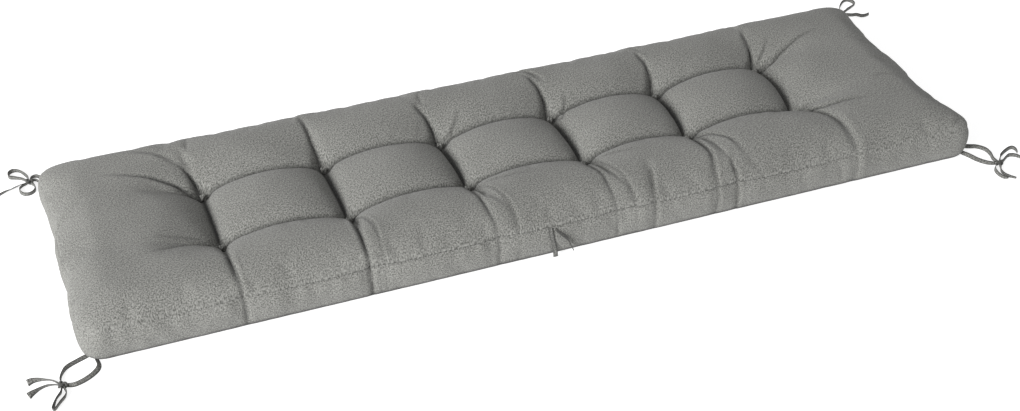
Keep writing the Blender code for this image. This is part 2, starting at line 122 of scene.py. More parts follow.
# Creases that the tufts draw into the cloth: depth, half width, then the points that each runs through.
# One that ends past the front seam runs on down the band.
CREASES = in_metres((
    (4, 11, ((-613, -100), (-615, -145), (-611, -235), (-603, -270))),
    (6, 11, ((-370, -105), (-374, -150), (-374, -210), (-376, -270))),
    (5, 12, ((-126, -90), (-134, -130), (-127, -185), (-123, -262))),
    (5, 14, ((-120, -95), (-100, -180), (-82, -223), (-86, -255))),
    (5, 12, ((118, -95), (107, -136), (118, -185), (117, -258))),
    (5, 14, ((127, -100), (140, -185), (157, -235), (157, -258))),
    (4, 14, ((214, -185), (200, -235), (187, -268))),
    (6, 14, ((349, -90), (340, -130), (346, -195), (322, -268))),
    (5, 13, ((362, -95), (385, -125), (405, -170), (410, -210))),
    (4, 12, ((378, -225), (374, -255), (370, -270))),
    (6, 18, ((606, -78), (632, -120), (643, -170), (640, -250), (634, -272))),
    (6, 15, ((-615, 98), (-627, 149), (-640, 180))),
    (8, 20, ((-373, 103), (-377, 167), (-380, 225))),
    (6, 15, ((-129, 98), (-132, 136), (-150, 177))),
    (6, 15, ((118, 105), (120, 145), (108, 190))),
    (4, 12, ((96, 234), (118, 214), (138, 167))),
    (6, 16, ((361, 108), (370, 150), (360, 200))),
    (5, 15, ((609, 120), (616, 150), (617, 195))),
    (7, 14, ((-625, 81), (-662, 105), (-704, 124), (-785, 150))),
    (5, 14, ((-648, 160), (-690, 196), (-750, 224))),
    (7, 14, ((-626, -82), (-653, -87), (-700, -103), (-735, -115))),
    (6, 13, ((618, 103), (643, 104), (682, 117), (735, 135))),
    (6, 13, ((612, -84), (648, -111), (703, -126), (740, -135))),
))

# The cloth simulation that fills the cover out, and how firmly the cover is held in it
FILLING = {
    "quality": 5, "mass": 0.3, "tension_stiffness": 12, "compression_stiffness": 6, "shear_stiffness": 3,
    "bending_stiffness": 0.15, "air_damping": 3, "use_pressure": True, "uniform_pressure_force": 4,
    "vertex_group_mass": "held", "shrink_min": -0.01, "pin_stiffness": 3,
}
SETTLE_FRAMES = 20
CAP = 0.006
HELD_TUFT = 0.016
HELD_LINE = 0.007
HELD_SEAM = 0.006
HELD_FADE = 0.02
HELD_FIRMLY = 0.9
HELD_LEAST = 0.02
HELD_BOTTOM = 0.006
RIM_FIRMNESS = 6

# Fine folds, pressed into the finished cover: depth of the sharp line, its half width, how high the cloth
# rolls up on its left (+) or right (-) side, then the points that it runs through.
FOLDS = in_metres((
    (4.5, 3, 2, ((-613, -98), (-617, -145), (-613, -200), (-611, -235), (-603, -340))),
    (4.5, 3, -2, ((-370, -100), (-374, -150), (-374, -210), (-376, -340))),
    (3.3, 2.5, 1.4, ((-369, -100), (-352, -135), (-343, -180), (-344, -206), (-348, -285))),
    (3.3, 2.2, 1.4, ((-126, -88), (-134, -130), (-129, -185), (-124, -285))),
    (3, 2.2, 1.2, ((-112, -92), (-95, -150), (-84, -200), (-82, -230), (-88, -285))),
    (3.3, 2.2, 1.4, ((118, -90), (107, -136), (116, -185), (116, -285))),
    (3, 2.2, 1.2, ((132, -92), (142, -150), (154, -205), (157, -285))),
    (4.5, 3, 2, ((212, -196), (205, -220), (196, -250), (188, -340))),
    (4.5, 3, 2, ((349, -84), (341, -130), (345, -195), (331, -245), (321, -340))),
    (4.2, 2.8, -2, ((362, -90), (385, -122), (403, -165), (410, -215))),
    (3.3, 2.6, 1.5, ((374, -225), (374, -255), (370, -340))),
    (4.5, 3.2, 2.2, ((606, -78), (622, -92), (634, -120), (642, -165))),
    (3, 5.5, 2.2, ((642, -160), (643, -190), (640, -240), (634, -340))),
    (5.3, 2.8, -2, ((-615, 94), (-621, 112), (-627, 127), (-638, 145), (-658, 165))),
    (3, 3, 1.4, ((-373, 100), (-377, 140), (-379, 190), (-381, 230))),
    (4.8, 2.6, -1.8, ((-129, 94), (-131, 120), (-136, 142), (-144, 164), (-158, 182))),
    (3.3, 2.6, 1.4, ((-118, 90), (-99, 92), (-77, 116), (-66, 140))),
    (5.3, 2.6, -1.8, ((118, 100), (121, 130), (118, 160), (107, 190), (92, 212))),
    (3.3, 2.6, 1.4, ((128, 80), (136, 66), (159, 108), (164, 130))),
    (3, 2.6, 1.4, ((96, 238), (118, 214), (136, 175))),
    (4.8, 2.6, -1.8, ((360, 104), (368, 135), (368, 170), (356, 205))),
    (4.8, 2.8, -1.8, ((607, 113), (614, 144), (617, 172), (617, 200))),
    (5, 3, 2, ((-622, 81), (-660, 104), (-704, 124), (-749, 139), (-800, 155))),
    (2.4, 3.6, 2, ((-652, 166), (-690, 196), (-721, 213), (-765, 229))),
    (4.5, 3, 2, ((-622, -82), (-653, -86), (-700, -101), (-745, -118))),
    (2.4, 3.4, 1, ((-640, -72), (-690, -70), (-735, -62))),
    (4.8, 2.8, 1.8, ((618, 102), (642, 103), (681, 117), (731, 134), (785, 147))),
    (3.9, 2.8, -1.6, ((616, 116), (640, 135), (668, 168))),
    (5.5, 3, 2, ((606, -77), (628, -95), (650, -111), (703, -125), (748, -136))),
    (1.8, 3, 0.8, ((789, -67), (815, -70), (845, -80))),
    (2.4, 3, 1, ((872, -255), (884, -246), (894, -232))),
    (2.7, 2.6, 1.4, ((-104, -108), (-60, -119), (14, -128))),
    (2.7, 2.6, 1.4, ((140, -106), (180, -120), (225, -134))),
))
FOLD_FADE = 3
BAND_FOLD_FADE = 4
FOLD_START = 0.3
FOLD_RISE = 3
ROLL_OFFSET = 2.6
ROLL_WIDTH = 1.7

# The seam, its puckers, the cloth's slight unevenness, and the shade painted into the colour in seams,
# folds, channels and along the bottom edge
UNEVEN_REACH = 1.3
SEAM_SLOPE = 1.4
STITCH_GROOVE = 0.0022
STITCH_GROOVE_WIDTH = 0.0026
PUCKER = 0.0042
PUCKER_REACH = 0.018
PUCKER_START = 0.003
TOP_PUCKER = 0.4
BACK_PUCKER = 0.1
FINE_PUCKER = (0.6, 0.017)  # share and pitch
BROAD_PUCKER = (0.4, 0.029)
PUCKER_SLANT = 0.3
# Painted shade along the bottom edge, where the band meets the floor
HEM_SHADE = 1.25
HEM_SHADE_HEIGHT = 0.011
HEM_SHADE_POWER = 4
# How strongly the seam shows, by its place along the cushion
SEAM_SHOWS = (
    (-HALF_LENGTH, 1.0), (0.01 - HALF_LENGTH, 0.0), (-0.70, 0.5), (-0.36, 1.0), (0.10, 0.8), (0.45, 1.0),
    (0.60, 0.6), (0.72, 0.0),
)
LUMPS = 0.0006
LUMP_PITCHES = (0.061, 0.053, 0.033)
LUMP_SLANTS = (0.4, 0.3, 0.6)
SMALL_LUMPS = 0.5
LUMP_START = 0.03
DEEPEST_FOLD = 0.0055
FOLD_SHADE_WIDTH = 0.0034
SEAM_SHADE = 0.22
SEAM_SHADE_WIDTH = 0.0018
VALLEY_SHADE = 0.90
VALLEY_SHADE_WIDTH = 0.0052
ROW_SHADE = 0.85
SHADE_FADE = 0.03
UNDERSIDE_FLAT = 0.0002
UNDERSIDE_BLOCK = 0.06

# How finely the body is divided before its one subdivision
PITCH_STEPS = 32
ROW_STEPS = 20
END_STEPS = 20
SIDE_STEPS = 12
TURN_STEPS = 12
BAND_STEPS = 10
STEP_EASE = 0.35
BAND_EASE = 0.8

# The tufting knots
KNOT_RADIUS = 0.0066
KNOT_HEIGHT = 0.0135
KNOT_THREAD = 0.0019
KNOT_SINK = 0.0005
KNOT_POINTS = 72
KNOT_TURN = 1.7
THREAD_ROUNDNESS = 2
CORE_SHARE = 0.62
CORE_SEGMENTS = 16
CORE_RINGS = 10
GAP = 0.0003

# The seam's stitches
STITCH_PITCH = 0.0098
STITCH_SIZE = (0.0058, 0.0018, 0.0014)
STITCH_SINK = 0.0009
STITCH_SEGMENTS = 8
STITCH_RINGS = 6
STITCH_STEP = 0.001

# The ties are narrow folded strips
TIE_WIDTH = 0.009
TIE_THICKNESS = 0.0013
TIE_STEP = 0.0025
TIE_CUTS = 8
TIE_TWIST = 0.22
TWIST_PITCH = 0.021
TIE_CUP = 0.0007
CUP_PITCH = 0.034
CUP_BALANCE = 0.4
EDGE_THINNING = 0.35
EDGE_POWER = 6
EDGE_ROUNDING = 0.05
# Past this distance from a strip's middle, the tie cloth gets painted shade along its folded edges
FOLD_LINE = 0.33 * TIE_WIDTH
SEED_SCALE = 1e4
TIE_TUCK = 0.003
PINCH = 0.72
PINCH_REACH = 0.007
END_REACH = 0.014
ROUTE_DETAIL = 12
TIE_KNOT_THREAD = 0.0023
TIE_KNOT_SIZE = (0.0095, 0.0088, 0.0052)
# How dark the painted shade on each tie knot is
TIE_KNOT_SHADE = 0.7
TIE_KNOT_TURN = 10
TIE_END_TURNS = {"front_left": 75, "front_right": 0, "back_left": 60, "back_right": 0}  # degrees
TIE_END_TURN_EASE = 4
TIE_END_WIDTHS = {"front_left": 1.35, "front_right": 0.55, "back_left": 0.70, "back_right": 0.80}
HANGING_WIDTHS = ((1.0, 1.0), (0.75, 0.35))
HANGING_LEANS = (math.pi / 2, math.radians(25))
HANGING_CLEAR = (0.0016, 0.0030)
# Each corner tie: its knot, then its strips, with the lean of each in degrees and its places in order
CORNER_TIES = {
    "front_left": {
        "knot": (-943, -297),
        "strap": (
            (15, ((-895, -238), (-908, -243), (-929, -253), (-939, -266), (-944, -280))),
            (55, ((-877, -258), (-876, -268), (-885, -282), (-902, -294), (-922, -301))),
        ),
        "loop": (
            (0, ((-948, -314), (-956, -325), (-962, -338), (-967, -351), (-962, -351),
                 (-953, -339), (-942, -326), (-939, -314))),
        ),
        "end": (
            (-25, ((-956, -281), (-964, -275), (-976, -270), (-988, -268), (-999, -270))),
            (-25, ((-957, -290), (-968, -288), (-979, -291), (-990, -297), (-1001, -304))),
        ),
    },
    "front_right": {
        "knot": (953, -317),
        "strap": (
            (-20, ((920, -240), (931, -245), (944, -251), (955, -265), (956, -282), (951, -299))),
            (-40, ((904, -258), (911, -272), (919, -290), (930, -305), (940, -312))),
        ),
        "loop": (),
        "end": (
            (-10, ((966, -303), (972, -296), (985, -288), (1001, -281), (1011, -280),
                   (1014, -288), (1011, -299))),
            (0, ((967, -313), (976, -307), (988, -301), (998, -304), (1005, -312), (1009, -325))),
            (0, ((940, -324), (933, -333), (930, -345), (931, -357), (935, -365), (941, -367))),
            (0, ((948, -331), (942, -341), (941, -353), (946, -364), (955, -374))),
        ),
    },
    "back_left": {
        "knot": (-924, 327),
        "strap": (
            (0, ((-893, 262), (-899, 285), (-903, 312), (-908, 328), (-915, 332))),
            (0, ((-881, 269), (-883, 290), (-892, 318), (-905, 342), (-917, 342))),
        ),
        "loop": (
            (0, ((-916, 314), (-914, 303), (-918, 292), (-928, 286), (-938, 289),
                 (-944, 298), (-945, 309), (-938, 319))),
            (0, ((-924, 345), (-930, 360), (-939, 374), (-951, 379), (-960, 371),
                 (-960, 359), (-949, 352), (-938, 345), (-933, 340))),
        ),
        "end": (
            (-55, ((-940, 327), (-951, 322), (-963, 316), (-975, 311), (-990, 303))),
        ),
    },
    "back_right": {
        "knot": (958, 330),
        "strap": (
            (0, ((893, 266), (903, 287), (922, 308), (944, 319))),
            (0, ((906, 255), (924, 274), (945, 296), (955, 314))),
        ),
        "loop": (
            (0, ((966, 344), (979, 362), (996, 378), (1010, 382), (1018, 372), (1017, 359),
                 (1003, 350), (988, 343), (976, 336))),
        ),
        "end": (
            (0, ((973, 322), (984, 316), (995, 314), (1003, 305), (1013, 303), (1024, 306))),
        ),
    },
}
# Each hanging strip's places: along the cushion, out from the band, above the floor
HANGING_TIES = in_metres((
    ((-24, 1.6, 67), (-23.7, 7.2, 56), (-20.5, 8, 38), (-16.5, 8, 18), (-15.5, 8.5, 2)),
    ((-17, 5.6, 67), (-8, 11.5, 59), (4, 12, 46), (12, 12, 30), (20, 12, 10)),
))

# The cloth: a melange plain weave
CLOTH_FINISH = {"Roughness": 0.95, "Specular IOR Level": 0.2, "Sheen Weight": 0.12, "Sheen Roughness": 0.6}
YARN_PITCH = 0.0011
YARN_RELIEF = 0.0004
MELANGE_ALONG = 160
FLECKS = 380
CLOUDS = 9
YARN_DETAIL = 2.0
FLECK_DETAIL = 3.0
YARN_SHARE = 0.45
FLECK_SHARE = 0.85
MIX_BASE = -0.15
CLOUD_STRENGTH = 0.10
RAMP_ENDS = (0.365, 0.635)
FLECK_RELIEF = 1.2
BUMP_STRENGTH = 0.3
CLOTH_DARK = (0.070, 0.070, 0.064, 1.0)
CLOTH_LIGHT = (0.245, 0.245, 0.230, 1.0)
TIE_DARK = (0.035, 0.035, 0.032, 1.0)
TIE_LIGHT = (0.215, 0.215, 0.203, 1.0)
# How dark the painted shade along a tie's folded edges is
FOLD_SHADE = 0.8
# How far the painted shade in the shade attribute darkens the colour towards black
CREASE_SHADE = 0.75
TWINE_DARK = (0.110, 0.110, 0.102, 1.0)
TWINE_LIGHT = (0.300, 0.300, 0.283, 1.0)
THREAD_DARK = (0.012, 0.012, 0.011, 1.0)
THREAD_LIGHT = (0.040, 0.040, 0.038, 1.0)

# The camera
CAMERA_PLACE = (-0.908, -2.367, 1.853)
CAMERA_YAW = math.radians(20.88)
CAMERA_PITCH = math.radians(37.22)
CAMERA_LENS = 54.28

# The floor and the light
WHITE = (1, 1, 1, 1)
FLOOR_SIZE = 16
PAPER_FINISH = {
    "Base Color": (0.50, 0.50, 0.50, 1), "Roughness": 0.9, "Emission Color": WHITE,
    "Emission Strength": 0.76,
}
SKY = {"Color": WHITE, "Strength": 0.50}
KEY_PLACE = (-6.4, -3.4, 3.6)
KEY_AIM = (0, 0, 0.05)
KEY_POWER = 1020
KEY_SIZE = 3.0


# ---- camera, floor and light


def new_object(name, data):
    thing = bpy.data.objects.new(name, data)
    bpy.context.scene.collection.objects.link(thing)
    return thing


def set_inputs(node, values):
    for name, value in values.items():
        if isinstance(value, bpy.types.NodeSocket):
            node.id_data.links.new(value, node.inputs[name])
        else:
            node.inputs[name].default_value = value


def principled(name, finish):
    material = bpy.data.materials.new(name)
    material.use_nodes = True
    shader = material.node_tree.nodes["Principled BSDF"]
    set_inputs(shader, finish)
    return material, material.node_tree, shader


def add_camera():
    camera = new_object("camera", bpy.data.cameras.new("camera"))
    forward = Vector((
        math.sin(CAMERA_YAW) * math.cos(CAMERA_PITCH),
        math.cos(CAMERA_YAW) * math.cos(CAMERA_PITCH),
        -math.sin(CAMERA_PITCH),
    ))
    camera.location = CAMERA_PLACE
    camera.rotation_euler = forward.to_track_quat("-Z", "Y").to_euler()
    camera.data.lens = CAMERA_LENS
    bpy.context.scene.camera = camera


def add_key_light():
    light = new_object("key", bpy.data.lights.new("key", "AREA"))
    light.data.energy = KEY_POWER
    light.data.size = KEY_SIZE
    light.location = KEY_PLACE
    light.rotation_euler = (Vector(KEY_AIM) - Vector(KEY_PLACE)).to_track_quat("-Z", "Y").to_euler()


def add_stage():
    bpy.ops.mesh.primitive_plane_add(size=FLOOR_SIZE)
    floor = bpy.context.object
    floor.name = "floor"
    floor.data.materials.append(principled("pale_paper", PAPER_FINISH)[0])
    add_key_light()
    world = bpy.data.worlds.new("studio")
    world.use_nodes = True
    set_inputs(world.node_tree.nodes["Background"], SKY)
    bpy.context.scene.world = world
    bpy.context.scene.view_settings.view_transform = "Standard"


# ---- materials


def add_node(tree, kind, inputs=(), **settings):
    node = tree.nodes.new("ShaderNode" + kind)
    for name, value in settings.items():
        setattr(node, name, value)
    set_inputs(node, dict(inputs))
    return node


def maths(tree, operation, *values):
    return add_node(tree, "Math", enumerate(values), operation=operation).outputs[0]


def yarn_noise(tree, place, across, along, detail=YARN_DETAIL):
    """Uneven grey that changes over so many times a metre across a yarn and along it."""
    pitch = {0: place, 1: (across, along, 1.0)}
    stretched = add_node(tree, "VectorMath", pitch, operation="MULTIPLY").outputs[0]
    noise = add_node(tree, "TexNoise", {"Vector": stretched, "Scale": 1.0, "Detail": detail})
    return noise.outputs["Fac"]


def shaded(tree, share, colour, shade):
    return add_node(tree, "Mix", {0: share, 6: colour, 7: shade}, data_type="RGBA").outputs[2]


def weave_material(name, dark, light, place_from, folded_at=None):
    """A melange plain weave of uneven yarns, darkened towards black by the painted shade in its shade
    attribute, and darker past a fold that far from the middle: painted shade along a tie's folded edges.
    """
    material, tree, shader = principled(name, CLOTH_FINISH)
    place = place_from(tree)
    parts = add_node(tree, "SeparateXYZ", {0: place})
    wave_x = maths(tree, "SINE", maths(tree, "MULTIPLY", parts.outputs[0], math.pi / YARN_PITCH))
    wave_y = maths(tree, "SINE", maths(tree, "MULTIPLY", parts.outputs[1], math.pi / YARN_PITCH))
    crossing = maths(tree, "MULTIPLY", wave_x, wave_y)
    warp_on_top = maths(tree, "GREATER_THAN", crossing, 0.0)

    warp = yarn_noise(tree, place, 1.0 / YARN_PITCH, MELANGE_ALONG)
    weft = yarn_noise(tree, place, MELANGE_ALONG, 1.0 / YARN_PITCH)
    yarns = {0: warp_on_top, 2: warp, 3: weft}
    on_top = add_node(tree, "Mix", yarns, data_type="FLOAT").outputs[0]
    flecks = yarn_noise(tree, place, FLECKS, FLECKS, FLECK_DETAIL)
    clouds = yarn_noise(tree, place, CLOUDS, CLOUDS, FLECK_DETAIL)
    flecked = maths(tree, "MULTIPLY_ADD", flecks, FLECK_SHARE, MIX_BASE)
    mixed = maths(tree, "MULTIPLY_ADD", on_top, YARN_SHARE, flecked)
    mixed = maths(tree, "MULTIPLY_ADD", maths(tree, "SUBTRACT", clouds, 0.5), CLOUD_STRENGTH, mixed)
    ramp = add_node(tree, "ValToRGB", {"Fac": mixed})
    for end, position, colour in zip(ramp.color_ramp.elements, RAMP_ENDS, (dark, light)):
        end.position = position
        end.color = colour
    # Painted shade: the shade attribute darkens the colour towards black in folds, along the seam, down
    # the tuft channels, along the bottom edge and on the tie knots.
    painted_shade = add_node(tree, "Attribute", attribute_name="shade").outputs["Fac"]
    share = maths(tree, "MULTIPLY", painted_shade, CREASE_SHADE)
    colour = shaded(tree, share, ramp.outputs["Color"], (0, 0, 0, 1))
    # Painted shade along both folded edges of a tie strip.
    if folded_at:
        past_fold = maths(tree, "GREATER_THAN", maths(tree, "ABSOLUTE", parts.outputs[1]), folded_at)
        share = maths(tree, "MULTIPLY", past_fold, FOLD_SHADE)
        colour = shaded(tree, share, colour, dark)
    height = maths(tree, "MULTIPLY_ADD", flecks, FLECK_RELIEF, maths(tree, "ABSOLUTE", crossing))
    relief = {"Height": height, "Strength": BUMP_STRENGTH, "Distance": YARN_RELIEF}
    bump = add_node(tree, "Bump", relief)
    set_inputs(shader, {"Base Color": colour, "Normal": bump.outputs["Normal"]})
    return material


def own_layout(tree):
    return add_node(tree, "UVMap", uv_map="cloth").outputs[0]


def in_space(tree):
    return add_node(tree, "TexCoord").outputs["Object"]


# ---- the filled body


def soft_step(t):
    t = np.clip(t, 0.0, 1.0)
    return t * t * (3 - 2 * t)


def bell(distance, width, power=2):
    """1 on the spot and less around it, almost gone at twice the width."""
    return np.exp(-((distance / width) ** power))


def beyond(places, last):
    """How far each place is out past the last one, on either side of the middle."""
    return np.maximum(np.abs(places) - last, 0.0)


def channel(distance, reach):
    """The profile of a pad's side: 1 in the channel, 0 on top of the pad, and steep at first."""
    left = 1 - np.minimum(distance / reach, 1.0)
    return 1 - (1 - left * left) ** PAD_FIRMNESS


def nearest_distance(places, marks):
    return np.min([np.abs(places - mark) for mark in marks], axis=0)


def tuft_shift(x, y):
    """How far the cloth at a place of the even layout is moved, so that each tuft is at its own place."""
    shifts = []
    for row, tufts in zip(ROWS, (FRONT_TUFTS, BACK_TUFTS)):
        across = np.interp(x, COLUMNS, [tuft[0] - column for tuft, column in zip(tufts, COLUMNS)])
        along = np.interp(x, COLUMNS, [tuft[1] - row for tuft in tufts])
        shifts.append((across, along))
    back = soft_step((y + ROW_OFFSET) / (2 * ROW_OFFSET))
    across = shifts[0][0] * (1 - back) + shifts[1][0] * back
    along = shifts[0][1] * (1 - back) + shifts[1][1] * back
    across = across + np.interp(x, COLUMNS, COLUMN_BOW) * np.maximum(0.0, 1 - (y / ROW_OFFSET) ** 2)
    past_column = beyond(x, COLUMNS[-1]) / (HALF_LENGTH - COLUMNS[-1])
    past_row = beyond(y, ROW_OFFSET) / (HALF_WIDTH - ROW_OFFSET)
    share = (1 - soft_step(past_column)) * (1 - soft_step(past_row))
    side_bow = np.where(y < 0, np.interp(x, COLUMNS, FRONT_BOW), np.interp(x, COLUMNS, BACK_BOW))
    bowed = soft_step(past_row / BOW_RISE) * (1 - soft_step((past_row - BOW_FALL) / (1 - BOW_FALL)))
    return across * share + side_bow * bowed * (1 - soft_step(past_column)), along * share


def sink(x, y):
    """How far the tufting draws in the top panel, at a place of the even layout."""
    off_column = nearest_distance(x, COLUMNS)
    off_row = nearest_distance(y, ROWS)
    past_row = np.minimum(beyond(y, ROW_OFFSET) / (HALF_WIDTH - ROW_OFFSET), 1.0)
    past_column = beyond(x, COLUMNS[-1])
    pad = COLUMN_PITCH / 2 * np.where(past_column > 0, END_PAD, 1.0)
    narrowing = np.where(y > 0, BACK_NARROWING, SIDE_NARROWING)
    pad = pad * (1 - narrowing * soft_step(past_row * SIDE_NARROWING_RATE))
    opening = soft_step(past_row / CHANNEL_OPENING) * (y > 0)
    profile = channel(off_column, pad) * (1 - opening) + soft_step(1 - off_column / pad) * opening
    across = COLUMN_DEPTH * (1 - past_row) ** np.where(y > 0, BACK_FADE, SIDE_FADE) * profile
    along = ROW_DEPTH * np.exp(-past_column / ROW_REACH) * channel(off_row, ROW_OFFSET)
    depth = CROWN * (1 - (1 - across) * (1 - along))
    cleft_across = np.exp(-off_column / CLEFT_WIDTH) * bell(past_row, CLEFT_SIDE_FADE)
    cleft_along = np.exp(-off_row / CLEFT_WIDTH) * bell(past_column, CLEFT_END_FADE)
    cleft_along = cleft_along * (1 - CLEFT_EASE * soft_step(off_column / CLEFT_EASE_LENGTH))
    depth = depth + CLEFT_DEPTH * np.maximum(cleft_across, cleft_along)
    seat = soft_step((np.hypot(off_column, off_row) - SEAT_RADIUS) / SEAT_BLEND)
    return TUFT_DEPTH + (depth - TUFT_DEPTH) * seat


def crease_depth(x, y):
    """How deep the creases are at each place in plan, each fading at its far end and to both sides."""
    deepest = np.zeros_like(x)
    for depth, half_width, route in CREASES:
        fade = CREASE_FADE if route[-1][1] < EDGE_ROUND - HALF_WIDTH else 1.0
        for k, (start, end) in enumerate(zip(route, route[1:])):
            run_x, run_y = end[0] - start[0], end[1] - start[1]
            share = ((x - start[0]) * run_x + (y - start[1]) * run_y) / (run_x**2 + run_y**2)
            share = np.clip(share, 0.0, 1.0)
            aside = np.hypot(x - start[0] - run_x * share, y - start[1] - run_y * share)
            along = (k + share) / (len(route) - 1)
            crease = depth * (1 - soft_step(aside / half_width)) * (1 - fade * along)
            deepest = np.maximum(deepest, crease)
    return deepest


def round_corner(x, y):
    """The places moved in to give the outline round corners, and out where a corner is drawn out."""
    end, side = np.where(x < 0, -1, 1), np.where(y < 0, -1, 1)
    over_x = np.maximum(np.abs(x) - HALF_LENGTH + CORNER_RADIUS, 0.0)
    over_y = np.maximum(np.abs(y) - HALF_WIDTH + CORNER_RADIUS, 0.0)
    span = 2 * CORNER_RADIUS**2
    new_x = np.where(over_y > 0, x - end * over_x * (1 - np.sqrt(1 - over_y**2 / span)), x)
    new_y = np.where(over_x > 0, y - side * over_y * (1 - np.sqrt(1 - over_x**2 / span)), y)
    near_end = soft_step((np.abs(new_x) - HALF_LENGTH) / CORNER_REACH_LENGTH + 1)
    near_side = soft_step((np.abs(new_y) - HALF_WIDTH) / CORNER_REACH_LENGTH + 1)
    reach = np.zeros_like(x)
    for (corner_end, corner_side), amount in CORNER_REACH.items():
        reach = np.where((end == corner_end) & (side == corner_side), amount, reach)
    new_x = new_x + end * reach * near_end * near_side
    skewed = new_y + FRONT_SKEW * new_x / HALF_LENGTH * np.abs(new_y) / HALF_WIDTH
    return new_x, np.where(side < 0, skewed, new_y)


def seam_share(x, y):
    """Where each place is from the flat of the top panel, 0, to the seam, 1, lengthwise and crosswise."""
    lengthwise = np.maximum(0.0, np.abs(x) - HALF_LENGTH + EDGE_ROUND) / EDGE_ROUND
    crosswise = np.maximum(0.0, np.abs(y) - HALF_WIDTH + EDGE_ROUND) / EDGE_ROUND
    return np.minimum(lengthwise, 1.0), np.minimum(crosswise, 1.0)


def drawn_in(x, y, lengthwise, crosswise):
    """How far the tufts draw the edge in, near a place on the outline."""
    at_column = bell(nearest_distance(x, COLUMNS), PULL_WIDTH)
    at_row = bell(nearest_distance(y, ROWS), PULL_WIDTH)
    end_pull = np.where(x < 0, *END_PULL)
    return SIDE_PULL * at_column * crosswise**PULL_POWER + end_pull * at_row * lengthwise**PULL_POWER


def band_inset(height):
    """How far the band stands in from the full outline at each height."""
    low = np.minimum(height, BOTTOM_ROUND)
    rounded = BOTTOM_ROUND - np.sqrt(BOTTOM_ROUND**2 - (BOTTOM_ROUND - low) ** 2)
    share = np.clip((height - BOTTOM_ROUND) / (SEAM_HEIGHT - BOTTOM_ROUND), 0.0, 1.0)
    bulge = BAND_BULGE * np.sin(math.pi * share) ** BULGE_POWER
    return np.where(height < BOTTOM_ROUND, rounded, SEAM_GROOVE * share**PULL_POWER - bulge)


def on_body(places):
    """The places on the finished body of places on the plain box."""
    x, y, z = places.T
    lengthwise, crosswise = seam_share(x, y)
    plan_x, plan_y = round_corner(x, y)
    out_x, out_y = np.copysign(lengthwise, x), np.copysign(crosswise, y)
    span = np.maximum(np.hypot(out_x, out_y), TINY)
    out_x, out_y = out_x / span, out_y / span
    pull = drawn_in(x, y, lengthwise, crosswise)
    top = z >= SEAM_HEIGHT - NEARLY
    bottom = z <= NEARLY

    shift_x, shift_y = tuft_shift(x, y)
    plan_x = np.where(top, plan_x + shift_x, plan_x)
    plan_y = np.where(top, plan_y + shift_y, plan_y)
    crease = crease_depth(plan_x, plan_y)
    rise = np.sqrt(np.maximum((1 - lengthwise**2) * (1 - crosswise**2), 0.0))
    height = SEAM_HEIGHT + (CROWN - SEAM_HEIGHT) * rise
    height = height - sink(x, y) * soft_step(rise * EDGE_FADE) - crease * rise
    top_inset = (SEAM_GROOVE + pull + crease) * (1 - rise)
    side_crease = crease * np.minimum(1.0, z / BOTTOM_ROUND)
    side_inset = band_inset(z) + pull * np.sin(math.pi / 2 * z / SEAM_HEIGHT) + side_crease
    inset = np.where(top, top_inset, np.where(bottom, 0.0, side_inset))
    plan_x, plan_y = plan_x - out_x * inset, plan_y - out_y * inset

    nearest = np.hypot(nearest_distance(x, COLUMNS), nearest_distance(y, ROWS))
    dimple = UNDERSIDE_DIMPLE * (1 - soft_step(nearest / DIMPLE_RADIUS))
    plan_x = np.where(bottom, plan_x * (1 - BOTTOM_ROUND / HALF_LENGTH), plan_x)
    plan_y = np.where(bottom, plan_y * (1 - BOTTOM_ROUND / HALF_WIDTH), plan_y)
    height = np.where(top, height, np.where(bottom, dimple, z))
    return np.column_stack((plan_x, plan_y, height))


def eased(low, high, steps, ease=STEP_EASE):
    """Stations from low up to but not at high, closer together at both ends."""
    k = np.arange(steps) / steps
    crowded = (1 - np.cos(math.pi * k)) / 2
    return list(low + (high - low) * (ease * crowded + (1 - ease) * k))


def stations(marks, steps, end_steps, half):
    """Stations across the box that meet every mark, and crowd at the marks and at the seam."""
    inner = []
    for low, high in zip(marks, marks[1:]):
        inner += eased(low, high, steps)
    flat_end = half - EDGE_ROUND
    outer = eased(marks[-1], flat_end, end_steps)
    turn = [flat_end + EDGE_ROUND * math.sin(math.pi / 2 * k / TURN_STEPS) for k in range(TURN_STEPS + 1)]
    right = outer + turn
    return np.array([-place for place in reversed(right)] + inner[1:] + right)


def cut_cube(counts):
    """A unit cube whose edges along each axis are cut into that many steps."""
    cube = bmesh.new()
    bmesh.ops.create_cube(cube, size=1.0)
    for axis, count in enumerate(counts):
        along = [edge for edge in cube.edges if abs((edge.verts[0].co - edge.verts[1].co)[axis]) > NEARLY]
        bmesh.ops.subdivide_edges(cube, edges=along, cuts=count - 1, use_grid_fill=True)
    return cube


def vectors(rows, field):
    values = np.empty(len(rows) * 3)
    rows.foreach_get(field, values)
    return values.reshape(-1, 3)


def numbers(rows, field):
    values = np.empty(len(rows), dtype=np.int32)
    rows.foreach_get(field, values)
    return values


def read_places(mesh):
    return vectors(mesh.vertices, "co")


def read_box(mesh):
    return vectors(mesh.attributes["box"].data, "vector")


def write_places(mesh, places):
    mesh.vertices.foreach_set("co", places.ravel())
    mesh.update()


